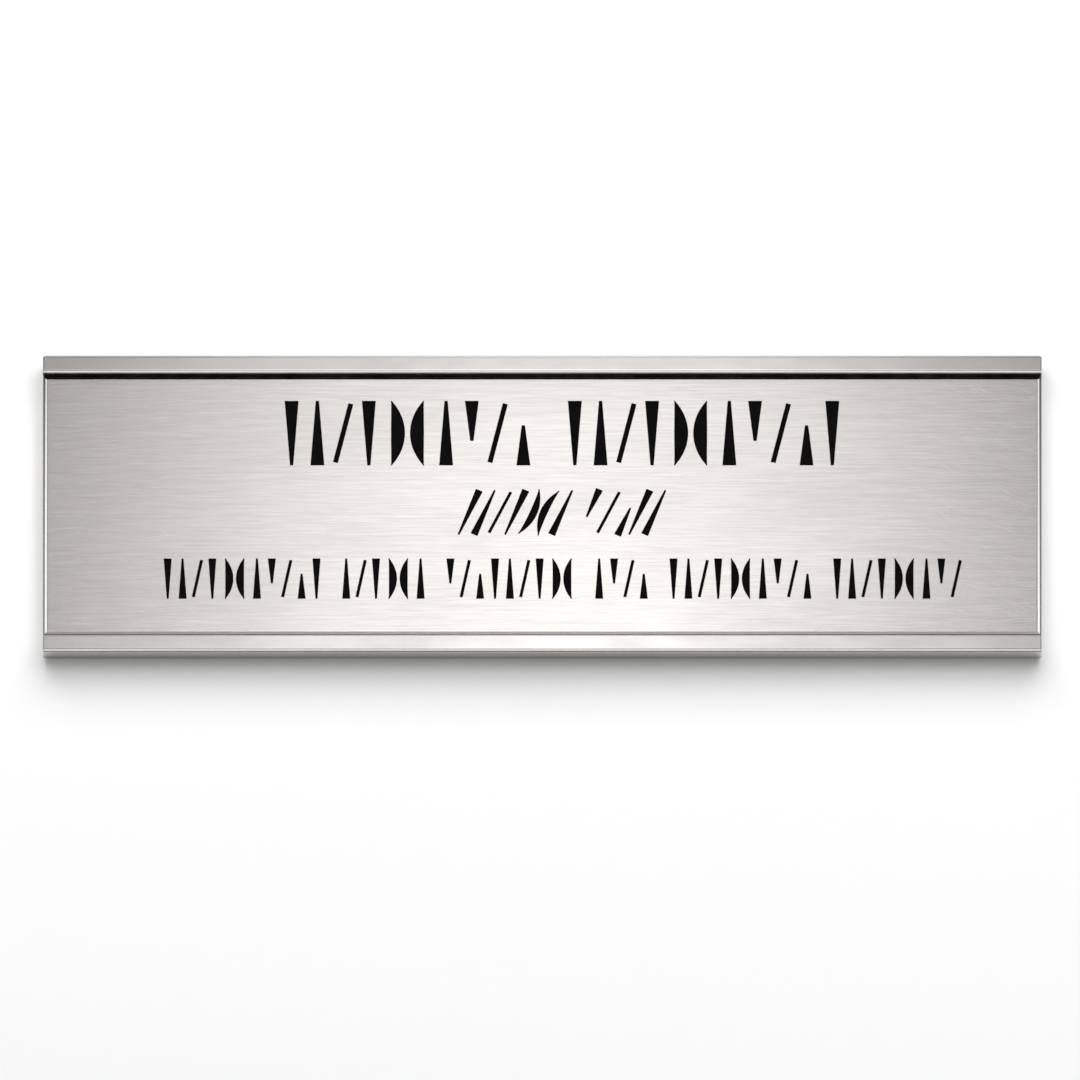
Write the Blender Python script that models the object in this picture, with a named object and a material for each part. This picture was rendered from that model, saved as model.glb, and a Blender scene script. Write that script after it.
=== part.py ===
# Stall name plate: an extruded wall holder with an engraved plate slid into it.
# X runs along the plate, Z is up, and the front looks towards -Y.
# The origin is the middle of the holder's flat back, which lies in the plane Y = 0.
import math

import bmesh
import bpy
from mathutils import Vector

# Holder, in metres
HOLDER_LENGTH = 0.2032
HOLDER_HEIGHT = 0.0635
HOLDER_DEPTH = 0.00476
WEB_THICKNESS = 0.0010
RIM_THICKNESS = 0.0012
LIP_THICKNESS = 0.0020
TOP_LIP_HEIGHT = 0.0038
BOTTOM_LIP_HEIGHT = 0.0035
OUTER_EDGE_RADIUS = 0.0006
LIP_EDGE_RADIUS = 0.0004
BACK_EDGE_RADIUS = 0.0003
TOP_CORNER_RADIUS = 0.0007
END_BACK_RADIUS = 0.0009
EDGE_STEPS = 4

# Name plate
PLATE_CLEARANCE = 0.0003
PLATE_END_INSET = 0.0003
PANEL_BEVEL = 0.00045
PANEL_TOP_GAP = 0.0003
PANEL_BOTTOM_GAP = 0.0009

# Inscription: rows of plain strokes cut into the plate. A row's words are its strokes in groups,
# its margin is kept free at each end, and its drop is from the panel's upper edge to its middle.
ENGRAVING_DEPTH = 0.00025
ROW_SHIFT = 0.0040
WORD_GAP_PITCHES = 1.0

FIRST_ROW_WORDS = (10, 11)
FIRST_ROW_MARGIN = 0.0437
FIRST_ROW_DROP = 0.0120
FIRST_ROW_HEIGHT = 0.0138
FIRST_ROW_THICK = 0.0028
FIRST_ROW_THIN = 0.0010
FIRST_ROW_LEAN = 0.0
FIRST_ROW_SPLAY = math.radians(14.0)

SECOND_ROW_WORDS = (7, 5)
SECOND_ROW_MARGIN = 0.0808
SECOND_ROW_DROP = 0.0290
SECOND_ROW_HEIGHT = 0.0104
SECOND_ROW_THICK = 0.0015
SECOND_ROW_THIN = 0.0006
SECOND_ROW_LEAN = math.radians(24.0)
SECOND_ROW_SPLAY = math.radians(3.0)

THIRD_ROW_WORDS = (11, 6, 9, 4, 10, 9)
THIRD_ROW_MARGIN = 0.0196
THIRD_ROW_DROP = 0.0432
THIRD_ROW_HEIGHT = 0.0086
THIRD_ROW_THICK = 0.0016
THIRD_ROW_THIN = 0.0006
THIRD_ROW_LEAN = 0.0
THIRD_ROW_SPLAY = math.radians(12.0)

# Stroke forms. A wedge's point is a share of its broad end, a short wedge and a bow's
# sag are shares of the row's height, and a hair stroke is as long as its share of it.
WEDGE_POINT = 0.22
SHORT_WEDGE = 0.62
HAIR_LENGTH = 0.94
BOW_SAG = 0.10
BOW_STEPS = 8

# Sizes that follow from the ones above
SLOT_DEPTH = HOLDER_DEPTH - WEB_THICKNESS - LIP_THICKNESS
TONGUE_THICKNESS = SLOT_DEPTH - 2 * PLATE_CLEARANCE
PLATE_THICKNESS = TONGUE_THICKNESS + PANEL_BEVEL
PLATE_BACK = -(WEB_THICKNESS + PLATE_CLEARANCE)
PLATE_FRONT = PLATE_BACK - PLATE_THICKNESS
TONGUE_FRONT = PLATE_BACK - TONGUE_THICKNESS
PLATE_LENGTH = HOLDER_LENGTH - 2 * PLATE_END_INSET
SLOT_HEIGHT = HOLDER_HEIGHT - 2 * RIM_THICKNESS
PLATE_HEIGHT = SLOT_HEIGHT - 2 * PLATE_CLEARANCE
TOP_LIP_EDGE = HOLDER_HEIGHT / 2 - TOP_LIP_HEIGHT
BOTTOM_LIP_EDGE = BOTTOM_LIP_HEIGHT - HOLDER_HEIGHT / 2
PANEL_TOP = TOP_LIP_EDGE - PANEL_TOP_GAP
PANEL_BOTTOM = BOTTOM_LIP_EDGE + PANEL_BOTTOM_GAP
CUTTER_MARGIN = 0.0010


def clear_scene():
    for thing in list(bpy.data.objects):
        bpy.data.objects.remove(thing, do_unlink=True)


def metal(name, colour, roughness):
    # A bare metal surface of one colour
    material = bpy.data.materials.new(name)
    material.use_nodes = True
    shader = material.node_tree.nodes["Principled BSDF"]
    shader.inputs["Base Color"].default_value = (*colour, 1.0)
    shader.inputs["Metallic"].default_value = 1.0
    shader.inputs["Roughness"].default_value = roughness
    return material


def add_object(name, mesh_data, material=None):
    # Puts a finished bmesh into the scene as one named object
    bmesh.ops.recalc_face_normals(mesh_data, faces=mesh_data.faces)
    mesh = bpy.data.meshes.new(name)
    mesh_data.to_mesh(mesh)
    mesh_data.free()
    thing = bpy.data.objects.new(name, mesh)
    bpy.context.collection.objects.link(thing)
    if material:
        mesh.materials.append(material)
    return thing


def extrude_outline(mesh_data, outline, direction):
    # A closed prism: the outline's face, pushed along the direction
    start = [mesh_data.verts.new(point) for point in outline]
    face = mesh_data.faces.new(start)
    pushed = bmesh.ops.extrude_face_region(mesh_data, geom=[face])
    moved = [part for part in pushed["geom"] if isinstance(part, bmesh.types.BMVert)]
    bmesh.ops.translate(mesh_data, verts=moved, vec=direction)


def rounded_corner(before, corner, after, radius, steps):
    # The arc that takes the place of one corner of an outline
    arm_in = (before - corner).normalized()
    arm_out = (after - corner).normalized()
    half_angle = arm_in.angle(arm_out) / 2
    bisector = (arm_in + arm_out).normalized()
    centre = corner + bisector * (radius / math.sin(half_angle))
    reach = radius / math.tan(half_angle)
    first = corner + arm_in * reach - centre
    last = corner + arm_out * reach - centre
    sweep = first.angle(last)
    arc = []
    for step in range(steps + 1):
        turn = sweep * step / steps
        arc.append(centre + (first * math.sin(sweep - turn) + last * math.sin(turn)) / math.sin(sweep))
    return arc


def rounded_outline(corners, steps=EDGE_STEPS):
    # Corners are (point, radius) in order; a radius of nothing keeps the corner sharp
    outline = []
    for index, (corner, radius) in enumerate(corners):
        before = corners[index - 1][0]
        after = corners[(index + 1) % len(corners)][0]
        if radius:
            outline += rounded_corner(before, corner, after, radius, steps)
        else:
            outline.append(corner)
    return outline


def intersect_with(thing, blank):
    blank.hide_render = True
    blank.display_type = "WIRE"
    trim = thing.modifiers.new(blank.name, "BOOLEAN")
    trim.operation = "INTERSECT"
    trim.solver = "EXACT"
    trim.object = blank


def cut_with(thing, cutter):
    cutter.hide_render = True
    cutter.display_type = "WIRE"
    cut = thing.modifiers.new(cutter.name, "BOOLEAN")
    cut.operation = "DIFFERENCE"
    cut.solver = "EXACT"
    cut.use_self = True
    cut.object = cutter


def holder_section():
    # The extrusion's cross-section, seen along X: a web with a lip folded over at each edge
    top = HOLDER_HEIGHT / 2
    front = -HOLDER_DEPTH
    lip_back = front + LIP_THICKNESS
    web_front = -WEB_THICKNESS
    slot_top = SLOT_HEIGHT / 2
    start = -HOLDER_LENGTH / 2
    corners = (
        (0, top, BACK_EDGE_RADIUS),
        (front, top, OUTER_EDGE_RADIUS),
        (front, TOP_LIP_EDGE, LIP_EDGE_RADIUS),
        (lip_back, TOP_LIP_EDGE, LIP_EDGE_RADIUS),
        (lip_back, slot_top, 0),
        (web_front, slot_top, 0),
        (web_front, -slot_top, 0),
        (lip_back, -slot_top, 0),
        (lip_back, BOTTOM_LIP_EDGE, LIP_EDGE_RADIUS),
        (front, BOTTOM_LIP_EDGE, LIP_EDGE_RADIUS),
        (front, -top, OUTER_EDGE_RADIUS),
        (0, -top, BACK_EDGE_RADIUS),
    )
    return rounded_outline([(Vector((start, y, z)), radius) for y, z, radius in corners])


def front_blank():
    # The holder's outline from the front, with its two upper corners rounded
    right = HOLDER_LENGTH / 2
    top = HOLDER_HEIGHT / 2
    below = -top - CUTTER_MARGIN
    start = CUTTER_MARGIN
    corners = (
        (-right, below, 0),
        (right, below, 0),
        (right, top, TOP_CORNER_RADIUS),
        (-right, top, TOP_CORNER_RADIUS),
    )
    outline = rounded_outline([(Vector((x, start, z)), radius) for x, z, radius in corners])
    solid = bmesh.new()
    extrude_outline(solid, outline, Vector((0, -HOLDER_DEPTH - 2 * CUTTER_MARGIN, 0)))
    return add_object("front_blank", solid)


def plan_blank():
    # The holder's outline from above, with its two back corners eased towards the wall
    right = HOLDER_LENGTH / 2
    front = -HOLDER_DEPTH - CUTTER_MARGIN
    bottom = -HOLDER_HEIGHT / 2 - CUTTER_MARGIN
    corners = (
        (-right, front, 0),
        (right, front, 0),
        (right, 0, END_BACK_RADIUS),
        (-right, 0, END_BACK_RADIUS),
    )
    outline = rounded_outline([(Vector((x, y, bottom)), radius) for x, y, radius in corners])
    solid = bmesh.new()
    extrude_outline(solid, outline, Vector((0, 0, HOLDER_HEIGHT + 2 * CUTTER_MARGIN)))
    return add_object("plan_blank", solid)


def build_holder():
    solid = bmesh.new()
    extrude_outline(solid, holder_section(), Vector((HOLDER_LENGTH, 0, 0)))
    holder = add_object("holder", solid, metal("holder_satin_aluminium", (0.62, 0.60, 0.58), 0.34))
    intersect_with(holder, front_blank())
    intersect_with(holder, plan_blank())
    return holder


def turned(points, lean, centre):
    # Flat points of a stroke, leant to the right about its middle and set in place
    placed = []
    for point in points:
        x = point.x * math.cos(lean) + point.y * math.sin(lean)
        z = point.y * math.cos(lean) - point.x * math.sin(lean)
        placed.append(centre + Vector((x, 0, z)))
    return placed


def wedge(centre, length, foot, head, lean):
    # A straight stroke with square ends, as wide as its foot below and as its head above
    points = [
        Vector((-foot / 2, -length / 2)),
        Vector((foot / 2, -length / 2)),
        Vector((head / 2, length / 2)),
        Vector((-head / 2, length / 2)),
    ]
    return turned(points, lean, centre)


def crescent(centre, length, width, lean, sag):
    # A bowed stroke that swells from a point at its foot and closes to a point at its head
    left = []
    right = []
    for step in range(BOW_STEPS + 1):
        along = math.sin(math.pi * (step / BOW_STEPS - 0.5))
        middle = Vector((sag * (0.5 - along ** 2), along * length / 2))
        heading = Vector((-2 * sag * along, length / 2)).normalized()
        side = Vector((heading.y, -heading.x)) * (width / 2 * (1 - along ** 2))
        left.append(middle - side)
        right.append(middle + side)
    return turned(left + right[-2:0:-1], lean, centre)


def nail(centre, height, thick, thin, lean, splay):
    return wedge(centre, height, WEDGE_POINT * thick, thick, lean)


def spike(centre, height, thick, thin, lean, splay):
    return wedge(centre, height, thick, WEDGE_POINT * thick, lean)


def low_spike(centre, height, thick, thin, lean, splay):
    lowered = centre - Vector((0, 0, (1 - SHORT_WEDGE) / 2 * height))
    return wedge(lowered, SHORT_WEDGE * height, thick, WEDGE_POINT * thick, lean)


def high_nail(centre, height, thick, thin, lean, splay):
    raised = centre + Vector((0, 0, (1 - SHORT_WEDGE) / 2 * height))
    return wedge(raised, SHORT_WEDGE * height, WEDGE_POINT * thick, thick, lean)


def hair(centre, height, thick, thin, lean, splay):
    return wedge(centre, HAIR_LENGTH * height, thin, thin, lean + splay)


def left_bow(centre, height, thick, thin, lean, splay):
    return crescent(centre, height, thick, lean, -BOW_SAG * height)


def right_bow(centre, height, thick, thin, lean, splay):
    return crescent(centre, height, thick, lean, BOW_SAG * height)


STROKE_ORDER = (nail, spike, hair, nail, right_bow, left_bow, spike, high_nail, hair, low_spike)


def row_of_strokes(mesh_data, words, margin, drop, height, thick, thin, lean, splay):
    # Evenly pitched strokes, set in groups with a gap between one group and the next
    row_length = PLATE_LENGTH - 2 * margin
    places = sum(words) + WORD_GAP_PITCHES * (len(words) - 1)
    pitch = row_length / places
    level = PANEL_TOP - drop
    place = 0.5
    count = 0
    for word in words:
        for _ in range(word):
            x = ROW_SHIFT - row_length / 2 + place * pitch
            centre = Vector((x, PLATE_FRONT + ENGRAVING_DEPTH, level))
            shape = STROKE_ORDER[count % len(STROKE_ORDER)]
            outline = shape(centre, height, thick, thin, lean, splay)
            extrude_outline(mesh_data, outline, Vector((0, -ENGRAVING_DEPTH - CUTTER_MARGIN, 0)))
            place += 1
            count += 1
        place += WORD_GAP_PITCHES


def inscription_cutter():
    solid = bmesh.new()
    row_of_strokes(
        solid, FIRST_ROW_WORDS, FIRST_ROW_MARGIN, FIRST_ROW_DROP, FIRST_ROW_HEIGHT,
        FIRST_ROW_THICK, FIRST_ROW_THIN, FIRST_ROW_LEAN, FIRST_ROW_SPLAY,
    )
    row_of_strokes(
        solid, SECOND_ROW_WORDS, SECOND_ROW_MARGIN, SECOND_ROW_DROP, SECOND_ROW_HEIGHT,
        SECOND_ROW_THICK, SECOND_ROW_THIN, SECOND_ROW_LEAN, SECOND_ROW_SPLAY,
    )
    row_of_strokes(
        solid, THIRD_ROW_WORDS, THIRD_ROW_MARGIN, THIRD_ROW_DROP, THIRD_ROW_HEIGHT,
        THIRD_ROW_THICK, THIRD_ROW_THIN, THIRD_ROW_LEAN, THIRD_ROW_SPLAY,
    )
    return add_object("inscription_cutter", solid)


def plate_section(side):
    # The plate's cross-section at one end: a thin sheet with a bevelled panel standing on it.
    # The panel's face stops short of the end by its bevel.
    end = side * PLATE_LENGTH / 2
    face_end = end - side * PANEL_BEVEL
    high = PLATE_HEIGHT / 2
    return (
        Vector((end, PLATE_BACK, -high)),
        Vector((end, PLATE_BACK, high)),
        Vector((end, TONGUE_FRONT, high)),
        Vector((end, TONGUE_FRONT, PANEL_TOP)),
        Vector((face_end, PLATE_FRONT, PANEL_TOP - PANEL_BEVEL)),
        Vector((face_end, PLATE_FRONT, PANEL_BOTTOM + PANEL_BEVEL)),
        Vector((end, TONGUE_FRONT, PANEL_BOTTOM)),
        Vector((end, TONGUE_FRONT, -high)),
    )


def build_name_plate():
    solid = bmesh.new()
    left = [solid.verts.new(point) for point in plate_section(-1)]
    right = [solid.verts.new(point) for point in plate_section(1)]
    for index in range(len(left)):
        solid.faces.new((left[index - 1], left[index], right[index], right[index - 1]))
    for end in (left, right):
        solid.faces.new(end[:4] + end[6:])
        solid.faces.new(end[3:7])
    plate = add_object("name_plate", solid, metal("plate_brushed_silver", (0.72, 0.70, 0.68), 0.30))
    cut_with(plate, inscription_cutter())
    return plate


clear_scene()
build_holder()
build_name_plate()
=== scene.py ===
import math

import bmesh
import bpy
import numpy as np
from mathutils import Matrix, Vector
from mathutils.geometry import delaunay_2d_cdt


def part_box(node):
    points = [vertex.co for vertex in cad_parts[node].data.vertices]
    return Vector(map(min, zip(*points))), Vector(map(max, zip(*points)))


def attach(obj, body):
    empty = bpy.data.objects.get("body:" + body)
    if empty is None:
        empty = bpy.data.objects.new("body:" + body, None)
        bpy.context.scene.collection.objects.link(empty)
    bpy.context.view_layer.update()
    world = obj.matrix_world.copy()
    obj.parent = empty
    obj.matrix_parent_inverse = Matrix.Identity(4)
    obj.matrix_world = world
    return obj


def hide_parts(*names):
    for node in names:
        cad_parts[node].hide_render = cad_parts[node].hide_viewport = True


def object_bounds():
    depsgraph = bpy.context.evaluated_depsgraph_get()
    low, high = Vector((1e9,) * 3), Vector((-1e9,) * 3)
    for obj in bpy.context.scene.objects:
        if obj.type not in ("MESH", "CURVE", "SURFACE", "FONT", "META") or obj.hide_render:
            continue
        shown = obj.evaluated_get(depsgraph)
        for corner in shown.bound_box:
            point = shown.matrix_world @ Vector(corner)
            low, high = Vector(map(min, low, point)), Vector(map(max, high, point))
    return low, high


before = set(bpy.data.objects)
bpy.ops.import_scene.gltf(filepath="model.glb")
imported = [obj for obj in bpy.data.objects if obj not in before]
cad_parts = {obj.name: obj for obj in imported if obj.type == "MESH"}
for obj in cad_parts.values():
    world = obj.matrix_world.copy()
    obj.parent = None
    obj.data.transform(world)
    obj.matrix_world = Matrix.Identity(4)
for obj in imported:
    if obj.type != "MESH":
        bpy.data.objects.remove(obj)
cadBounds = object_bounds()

mm = 0.001
holderLow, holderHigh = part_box("holder")
plateLow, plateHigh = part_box("name_plate")
print("frame loaded, object", [round(float(v) * 1000, 2) for v in holderHigh - holderLow], "mm")


# shared mesh helpers

def filletArc(corner, before, after, radius, steps):
    # round corner: centre + first*sin(sweep - turn)/sin(sweep) + last*sin(turn)/sin(sweep)
    into = (before - corner) / np.linalg.norm(before - corner)
    out = (after - corner) / np.linalg.norm(after - corner)
    half = np.arccos(np.clip(into @ out, -1, 1)) / 2
    middle = (into + out) / np.linalg.norm(into + out)
    centre = corner + middle * radius / np.sin(half)
    first = corner + into * radius / np.tan(half) - centre
    last = corner + out * radius / np.tan(half) - centre
    sweep = np.pi - 2 * half
    turn = np.linspace(0, sweep, steps + 1)[:, None]
    return centre + (first * np.sin(sweep - turn) + last * np.sin(turn)) / np.sin(sweep)


def softPath(corners, radii, steps):
    # an open path through the corners, with every inner corner rounded by its radius
    corners = np.array(corners, float)
    parts = [corners[:1]]
    for i in range(1, len(corners) - 1):
        parts.append(filletArc(corners[i], corners[i - 1], corners[i + 1], radii[i - 1], steps))
    parts.append(corners[-1:])
    return np.concatenate(parts)


def pairedDense(pathA, pathB, longest):
    # cuts both paths' runs into the same number of equal steps, none longer than longest
    runA = np.linalg.norm(np.diff(pathA, axis=0), axis=1)
    runB = np.linalg.norm(np.diff(pathB, axis=0), axis=1)
    cuts = np.maximum(1, np.ceil(np.maximum(runA, runB) / longest)).astype(int)
    place = np.concatenate([i + np.arange(n) / n for i, n in enumerate(cuts)] + [[len(cuts)]])
    knots = np.arange(len(pathA))
    return [np.stack([np.interp(place, knots, path[:, k]) for k in range(2)], 1) for path in (pathA, pathB)]


def gridQuads(rows, columns, start=0, closed=False):
    # the quads of a rows x columns grid of points, its last column joined to the first if closed
    i = np.arange(rows - 1)[:, None]
    j = np.arange(columns if closed else columns - 1)[None, :]
    k = (j + 1) % columns
    a, b = i * columns + j, i * columns + k
    c, d = (i + 1) * columns + k, (i + 1) * columns + j
    return start + np.stack([a + 0 * b, b, c, d], -1).reshape(-1, 4)


def addPiece(name, points, faces, materials, marks, faceMaterial=None, sharp=32.0, weld=1e-7):
    # marks hold one value a point, from 0 to 1, for the materials: rub is wear, and the other mark is painted
    # shade
    mesh = bpy.data.meshes.new(name)
    mesh.from_pydata(np.asarray(points, float).tolist(), [], [list(map(int, f)) for f in faces])
    for mark, values in marks.items():
        mesh.attributes.new(mark, "FLOAT", "POINT").data.foreach_set("value", np.asarray(values, np.float32))
    if faceMaterial is not None:
        mesh.polygons.foreach_set("material_index", np.asarray(faceMaterial, np.int32))
    work = bmesh.new()
    work.from_mesh(mesh)
    bmesh.ops.remove_doubles(work, verts=work.verts, dist=weld)
    bmesh.ops.recalc_face_normals(work, faces=work.faces)
    loose = [v for v in work.verts if not v.link_faces]
    bmesh.ops.delete(work, geom=loose, context="VERTS")
    openEdges = sum(not e.is_manifold for e in work.edges)
    work.to_mesh(mesh)
    work.free()
    for material in materials:
        mesh.materials.append(material)
    mesh.shade_smooth()
    mesh.set_sharp_from_angle(angle=math.radians(sharp))
    piece = bpy.data.objects.new(name, mesh)
    bpy.context.scene.collection.objects.link(piece)
    print(name, len(mesh.vertices), "points", len(mesh.polygons), "faces", openEdges, "open edges")
    return piece


# shared shader helpers

def addNode(tree, kind, inputs=None, **settings):
    # one node, its settings first, then each input linked or given its number
    node = tree.nodes.new(kind)
    for key, value in settings.items():
        setattr(node, key, value)
    for key, value in (inputs or {}).items():
        if isinstance(value, bpy.types.NodeSocket):
            tree.links.new(value, node.inputs[key])
        else:
            node.inputs[key].default_value = value
    return node


def newGroup(name, inputs, outputs):
    # an empty shader group with named inputs and outputs, used by several materials
    tree = bpy.data.node_groups.new(name, "ShaderNodeTree")
    for label, kind, value in inputs:
        socket = tree.interface.new_socket(name=label, in_out="INPUT", socket_type="NodeSocket" + kind)
        if value is not None:
            socket.default_value = value
    for label, kind in outputs:
        tree.interface.new_socket(name=label, in_out="OUTPUT", socket_type="NodeSocket" + kind)
    return tree, tree.nodes.new("NodeGroupInput").outputs, tree.nodes.new("NodeGroupOutput").inputs


def placeGroup(tree, group, **inputs):
    # sets a group into a material with that material's own values
    node = tree.nodes.new("ShaderNodeGroup")
    node.node_tree = group
    for key, value in inputs.items():
        if isinstance(value, bpy.types.NodeSocket):
            tree.links.new(value, node.inputs[key])
        else:
            node.inputs[key].default_value = value
    return node.outputs


def newMaterial(name):
    # a Principled shader on the output, and the piece's own coordinates for its patterns
    material = bpy.data.materials.new(name)
    material.use_nodes = True
    tree = material.node_tree
    tree.nodes.clear()
    shader = tree.nodes.new("ShaderNodeBsdfPrincipled")
    out = tree.nodes.new("ShaderNodeOutputMaterial")
    tree.links.new(shader.outputs["BSDF"], out.inputs["Surface"])
    where = addNode(tree, "ShaderNodeTexCoord").outputs["Object"]
    return material, tree, shader, where


def math2(tree, operation, a, b, third=0.0, clamp=False):
    # a with b, and plus third for multiply-add; clamp holds it within 0 and 1
    node = addNode(tree, "ShaderNodeMath", {0: a, 1: b, 2: third}, operation=operation, use_clamp=clamp)
    return node.outputs[0]


def mapRange(tree, value, low, high, toLow, toHigh):
    # low to high becomes toLow to toHigh in a straight line, held at both ends
    limits = {"Value": value, "From Min": low, "From Max": high, "To Min": toLow, "To Max": toHigh}
    return addNode(tree, "ShaderNodeMapRange", limits).outputs[0]


def noiseValue(tree, vector, scale, detail=2.0, roughness=0.5):
    # smooth noise about 0.5: scale is its fineness, detail the number of finer layers added
    inputs = {"Vector": vector, "Scale": scale, "Detail": detail, "Roughness": roughness}
    return addNode(tree, "ShaderNodeTexNoise", inputs).outputs[0]


def stretched(tree, vector, x, y, z):
    # the vector times (x, y, z), so that a pattern is drawn out one way and packed close another
    scale = addNode(tree, "ShaderNodeCombineXYZ", {"X": x, "Y": y, "Z": z}).outputs[0]
    return addNode(tree, "ShaderNodeVectorMath", {0: vector, 1: scale}, operation="MULTIPLY").outputs[0]


def addBump(tree, shader, height, strength, distance):
    # relief in the shading: strength times the slope of height times distance, in metres
    relief = addNode(tree, "ShaderNodeBump", {"Height": height, "Strength": strength, "Distance": distance})
    tree.links.new(relief.outputs[0], shader.inputs["Normal"])


def mixColour(tree, share, a, b):
    # a times (1 - share) plus b times share
    node = addNode(tree, "ShaderNodeMix", data_type="RGBA")
    for key, value in ((0, share), (6, a), (7, b)):
        if isinstance(value, bpy.types.NodeSocket):
            tree.links.new(value, node.inputs[key])
        else:
            node.inputs[key].default_value = value
    return node.outputs[2]


def makeBrushGrain():
    # brushing lines: noise drawn out along X and packed close across it, 0.3 fine + 0.5 middle + 0.2 broad
    inputs = [("Vector", "Vector", None), ("Along", "Float", 120.0), ("Across", "Float", 5000.0)]
    tree, given, gives = newGroup("brushGrain", inputs, [("Tone", "Float"), ("Height", "Float")])
    drawn = stretched(tree, given["Vector"], given["Along"], given["Across"], given["Across"])
    fine = noiseValue(tree, drawn, 1.0, 3.0, 0.65)
    middle = noiseValue(tree, drawn, 0.47, 2.0, 0.6)
    broad = noiseValue(tree, drawn, 0.19, 2.0, 0.5)
    total = math2(tree, "MULTIPLY", fine, 0.3)
    total = math2(tree, "MULTIPLY_ADD", middle, 0.5, third=total)
    total = math2(tree, "MULTIPLY_ADD", broad, 0.2, third=total)
    tree.links.new(mapRange(tree, total, 0.32, 0.68, 0.0, 1.0), gives["Tone"])
    tree.links.new(total, gives["Height"])
    return tree


def makeHandling():
    # soft uneven patches left by wiping and handling: noise from 0.3 to 0.7 spread over 0 to 1
    inputs = [("Vector", "Vector", None), ("Size", "Float", 30.0), ("Stretch", "Float", 1.0)]
    tree, given, gives = newGroup("handling", inputs, [("Patches", "Float")])
    drawn = stretched(tree, given["Vector"], 1.0, given["Stretch"], given["Stretch"])
    cloud = noiseValue(tree, drawn, given["Size"], 3.0, 0.55)
    tree.links.new(mapRange(tree, cloud, 0.3, 0.7, 0.0, 1.0), gives["Patches"])
    return tree


def makeScratches():
    # sparse hair scratches: the crests of a drawn-out, turned noise, (noise - sparse) * 14
    inputs = [("Vector", "Vector", None), ("Turn", "Float", 0.2), ("Length", "Float", 90.0)]
    inputs += [("Fineness", "Float", 3500.0), ("Sparse", "Float", 0.72)]
    tree, given, gives = newGroup("hairScratches", inputs, [("Mask", "Float")])
    turn = {"Vector": given["Vector"], "Angle": given["Turn"]}
    turned = addNode(tree, "ShaderNodeVectorRotate", turn, rotation_type="Y_AXIS").outputs[0]
    drawn = stretched(tree, turned, given["Length"], given["Length"], given["Fineness"])
    over = math2(tree, "SUBTRACT", noiseValue(tree, drawn, 1.0, 1.0, 0.4), given["Sparse"])
    tree.links.new(math2(tree, "MULTIPLY", over, 14.0, clamp=True), gives["Mask"])
    return tree


def makeEdgeWear():
    # outer edges rubbed bright: the mesh's rub value, broken up by a small noise
    inputs = [("Vector", "Vector", None), ("Rub", "Float", 0.0), ("Break", "Float", 900.0)]
    tree, given, gives = newGroup("edgeWear", inputs, [("Mask", "Float")])
    breakUp = mapRange(tree, noiseValue(tree, given["Vector"], given["Break"]), 0.3, 0.6, 0.85, 1.0)
    tree.links.new(math2(tree, "MULTIPLY", given["Rub"], breakUp), gives["Mask"])
    return tree


def makeSlotShade():
    # painted shade: the mesh's shade mark, a little uneven, sets where the colour goes near-black in the
    # slot, under the lips and near the wall
    inputs = [("Vector", "Vector", None), ("Recess", "Float", 0.0), ("Amount", "Float", 0.95)]
    tree, given, gives = newGroup("slotShade", inputs, [("Mask", "Float")])
    uneven = mapRange(tree, noiseValue(tree, given["Vector"], 300.0), 0.3, 0.7, 0.9, 1.0)
    full = math2(tree, "MULTIPLY", given["Recess"], given["Amount"])
    tree.links.new(math2(tree, "MULTIPLY", full, uneven), gives["Mask"])
    return tree


brushGrain = makeBrushGrain()
handling = makeHandling()
hairScratches = makeScratches()
edgeWear = makeEdgeWear()
slotShade = makeSlotShade()
# near-black colour of the painted shade
shadeColour = (0.012, 0.0115, 0.011, 1)


# holder: satin aluminium extrusion

holder = {
    "web": 1.0 * mm, "rim": 1.2 * mm, "lip": 2.0 * mm, "topLip": 3.8 * mm, "bottomLip": 3.5 * mm,
    "outerRound": 0.6 * mm, "topOuterRound": 0.42 * mm, "topLipRound": 0.6 * mm, "bottomLipRound": 0.25 * mm,
    "tipBackRound": 0.15 * mm, "backRound": 0.3 * mm, "innerRound": 0.15 * mm,
    "topCorner": 0.7 * mm, "endBack": 0.9 * mm, "endSoft": 0.12 * mm,
    "roundSteps": 8, "sectionStep": 0.25 * mm, "softSteps": 4, "spans": 12,
    "colour": (0.79, 0.748, 0.708, 1), "shade": (0.68, 0.643, 0.609, 1), "edgeColour": (0.88, 0.855, 0.83, 1),
    "roughness": (0.18, 0.24), "dieLines": (14.0, 2600.0), "dieDepth": 0.004, "micro": 9000.0,
}


def holderEnd(y, z):
    # how far the extrusion reaches along X: half its length, less the larger of two quarter-round cuts
    halfLength = holderHigh.x
    cornerRise = np.clip(z - (holderHigh.z - holder["topCorner"]), 0, holder["topCorner"])
    backRise = np.clip(y - (holderHigh.y - holder["endBack"]), 0, holder["endBack"])
    cornerCut = holder["topCorner"] - np.sqrt(holder["topCorner"] ** 2 - cornerRise ** 2)
    backCut = holder["endBack"] - np.sqrt(holder["endBack"] ** 2 - backRise ** 2)
    return halfLength - np.maximum(cornerCut, backCut)


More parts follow.
